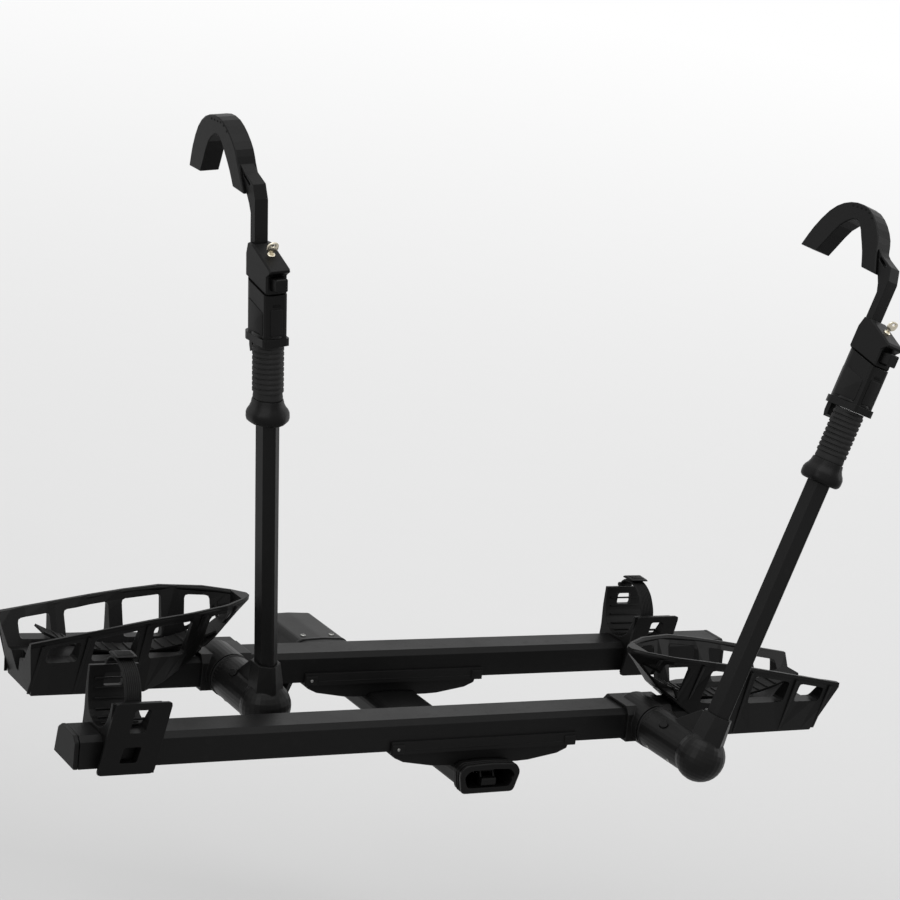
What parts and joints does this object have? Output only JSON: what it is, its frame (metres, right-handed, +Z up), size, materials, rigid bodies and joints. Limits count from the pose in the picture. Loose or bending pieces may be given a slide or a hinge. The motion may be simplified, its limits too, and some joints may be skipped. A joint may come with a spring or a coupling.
{
  "type": "hitch mounted bike rack",
  "caption": "Platform bicycle carrier for a vehicle hitch receiver: tilting spine, cross rails, wheel trays, strap cradles and folding arms with sliding tyre hooks.",
  "frame": {"origin": "centre of the receiver pin hole, on the shank's axis", "axes": "+X along the rails, +Y into the vehicle's receiver, +Z up"},
  "size_m": [1.424, 1.1665, 1.1546],
  "materials": {
    "coated_metal": "satin black powder coat",
    "coated_steel": "satin black powder coat",
    "black_plastic": "fine-grained black",
    "grip_rubber": "ribbed dark grey",
    "strap_rubber": "ribbed black",
    "bare_steel": "zinc plated",
    "brass": "satin"
  },
  "bodies": {
    "receiver": {"hitch_shank": "coated_steel", "bracket_plate_left": "coated_steel", "bracket_plate_right": "coated_steel", "pivot_bolt": "bare_steel", "pivot_nut": "bare_steel"},
    "tension_drive": {"tension_knob": "black_plastic", "tension_rod": "bare_steel"},
    "expander_wedge": {"expander_wedge": "bare_steel"},
    "spine": {"spine_tube": "coated_metal", "spine_head": "coated_metal", "spine_bezel": "black_plastic", "front_saddle": "black_plastic", "front_keel": "black_plastic", "rear_saddle": "black_plastic", "rear_keel": "black_plastic"},
    "tilt_lever": {"tilt_lever": "black_plastic"},
    "tilt_rod": {"tilt_rod": "bare_steel"},
    "tilt_pin": {"tilt_pin": "bare_steel"},
    "front_rail": {"front_rail": "coated_metal", "front_rail_cap": "black_plastic", "front_hub": "coated_metal", "front_hub_bolt": "bare_steel", "front_wheel_tray": "black_plastic", "front_tyre_seat": "black_plastic"},
    "front_cradle": {"front_cradle": "black_plastic"},
    "front_strap": {"front_strap": "strap_rubber"},
    "front_buckle": {"front_buckle": "black_plastic"},
    "front_arm": {"front_elbow": "coated_metal", "front_mast": "coated_metal"},
    "front_fold_button": {"front_fold_button": "black_plastic"},
    "front_head": {"front_collar": "black_plastic", "front_grip": "grip_rubber", "front_sleeve": "black_plastic", "front_lock_housing": "black_plastic", "front_hook_neck": "coated_steel", "front_hook": "black_plastic"},
    "front_trigger": {"front_trigger": "black_plastic"},
    "front_key": {"front_key": "brass"},
    "front_lock_plug": {"front_lock_plug": "black_plastic"},
    "rear_rail": {"rear_rail": "coated_metal", "rear_rail_cap": "black_plastic", "rear_hub": "coated_metal", "rear_hub_bolt": "bare_steel", "rear_wheel_tray": "black_plastic", "rear_tyre_seat": "black_plastic"},
    "rear_cradle": {"rear_cradle": "black_plastic"},
    "rear_strap": {"rear_strap": "strap_rubber"},
    "rear_buckle": {"rear_buckle": "black_plastic"},
    "rear_arm": {"rear_elbow": "coated_metal", "rear_mast": "coated_metal"},
    "rear_fold_button": {"rear_fold_button": "black_plastic"},
    "rear_head": {"rear_collar": "black_plastic", "rear_grip": "grip_rubber", "rear_sleeve": "black_plastic", "rear_lock_housing": "black_plastic", "rear_hook_neck": "coated_steel", "rear_hook": "black_plastic"},
    "rear_trigger": {"rear_trigger": "black_plastic"},
    "rear_key": {"rear_key": "brass"},
    "rear_lock_plug": {"rear_lock_plug": "black_plastic"}
  },
  "joints": [
    {"name": "spine_tilt", "type": "hinge", "parent": "receiver", "child": "spine", "pos_m": [0, -0.225, 0.142], "axis": [1, 0, 0], "range_deg": [-90, 30]},
    {"name": "tension_turn", "type": "hinge", "parent": "receiver", "child": "tension_drive", "pos_m": [0, -0.155, 0], "axis": [0, 1, 0], "range_deg": [0, 720]},
    {"name": "wedge_draw", "type": "slide", "parent": "receiver", "child": "expander_wedge", "axis": [0, 1, 0], "range_m": [0, 0.004]},
    {"name": "tilt_lever_pull", "type": "hinge", "parent": "spine", "child": "tilt_lever", "pos_m": [0, -0.92, 0.1555], "axis": [-1, 0, 0], "range_deg": [0, 35], "stiffness_Nm_per_rad": 0.3},
    {"name": "tilt_rod_draw", "type": "slide", "parent": "spine", "child": "tilt_rod", "axis": [0, -1, 0], "range_m": [0, 0.008]},
    {"name": "tilt_pin_draw", "type": "slide", "parent": "spine", "child": "tilt_pin", "axis": [0, -0.342, -0.9397], "range_m": [0, 0.0085]},
    {"name": "front_rail_shift", "type": "slide", "parent": "spine", "child": "front_rail", "axis": [1, 0, 0], "range_m": [-0.04, 0.04]},
    {"name": "front_cradle_slide", "type": "slide", "parent": "front_rail", "child": "front_cradle", "axis": [1, 0, 0], "range_m": [-0.018, 0.3]},
    {"name": "front_strap_swing", "type": "hinge", "parent": "front_cradle", "child": "front_strap", "pos_m": [-0.628, -0.818, 0.3245], "axis": [-1, 0, 0], "range_deg": [0, 150]},
    {"name": "front_buckle_lift", "type": "hinge", "parent": "front_strap", "child": "front_buckle", "pos_m": [-0.628, -0.8595, 0.3421], "axis": [1, 0, 0], "range_deg": [0, 60]},
    {"name": "front_arm_fold", "type": "hinge", "parent": "front_rail", "child": "front_arm", "pos_m": [0.324, -1.0545, 0.214], "axis": [0, 1, 0], "range_deg": [-95, 30]},
    {"name": "front_fold_button_press", "type": "slide", "parent": "front_arm", "child": "front_fold_button", "axis": [0.682, 0, -0.7314], "range_m": [0, 0.003], "stiffness_N_per_m": 400},
    {"name": "front_head_slide", "type": "slide", "parent": "front_arm", "child": "front_head", "axis": [0.2756, 0, 0.9613], "range_m": [-0.17, 0.005]},
    {"name": "front_trigger_squeeze", "type": "hinge", "parent": "front_head", "child": "front_trigger", "pos_m": [0.51143, -1.0125, 0.86766], "axis": [-0.9613, 0, 0.2756], "range_deg": [0, 4], "stiffness_Nm_per_rad": 2},
    {"name": "front_key_turn", "type": "hinge", "parent": "front_head", "child": "front_key", "pos_m": [0.53268, -1.0605, 0.93813], "axis": [0.2525, -0.4008, 0.8807], "range_deg": [0, 90]},
    {"name": "front_lock_plug_pull", "type": "slide", "parent": "front_head", "child": "front_lock_plug", "axis": [0, -1, 0], "range_m": [0, 0.02]},
    {"name": "rear_rail_shift", "type": "slide", "parent": "spine", "child": "rear_rail", "axis": [1, 0, 0], "range_m": [-0.04, 0.04]},
    {"name": "rear_cradle_slide", "type": "slide", "parent": "rear_rail", "child": "rear_cradle", "axis": [1, 0, 0], "range_m": [-0.26, 0.12]},
    {"name": "rear_strap_swing", "type": "hinge", "parent": "rear_cradle", "child": "rear_strap", "pos_m": [0.52, -0.513, 0.3245], "axis": [-1, 0, 0], "range_deg": [0, 150]},
    {"name": "rear_buckle_lift", "type": "hinge", "parent": "rear_strap", "child": "rear_buckle", "pos_m": [0.52, -0.5545, 0.3421], "axis": [1, 0, 0], "range_deg": [0, 60]},
    {"name": "rear_arm_fold", "type": "hinge", "parent": "rear_rail", "child": "rear_arm", "pos_m": [-0.324, -0.7495, 0.214], "axis": [0, 1, 0], "range_deg": [-38, 87]},
    {"name": "rear_fold_button_press", "type": "slide", "parent": "rear_arm", "child": "rear_fold_button", "axis": [0.682, 0, -0.7314], "range_m": [0, 0.003], "stiffness_N_per_m": 400},
    {"name": "rear_head_slide", "type": "slide", "parent": "rear_arm", "child": "rear_head", "axis": [-0.1461, 0, 0.9893], "range_m": [-0.155, 0.02]},
    {"name": "rear_trigger_squeeze", "type": "hinge", "parent": "rear_head", "child": "rear_trigger", "pos_m": [-0.42115, -0.7075, 0.87187], "axis": [-0.9893, 0, -0.1461], "range_deg": [0, 4], "stiffness_Nm_per_rad": 2},
    {"name": "rear_key_turn", "type": "hinge", "parent": "rear_head", "child": "rear_key", "pos_m": [-0.43091, -0.7555, 0.94482], "axis": [-0.1338, -0.4008, 0.9063], "range_deg": [0, 90]},
    {"name": "rear_lock_plug_pull", "type": "slide", "parent": "rear_head", "child": "rear_lock_plug", "axis": [0, -1, 0], "range_m": [0, 0.02]}
  ],
  "couplings": [
    {"joint": "tension_turn", "follows": "wedge_draw", "rad_per_m": 3138.4},
    {"joint": "tilt_lever_pull", "follows": "tilt_rod_draw", "rad_per_m": 76.282},
    {"joint": "tilt_pin_draw", "follows": "tilt_rod_draw", "ratio": 1}
  ]
}
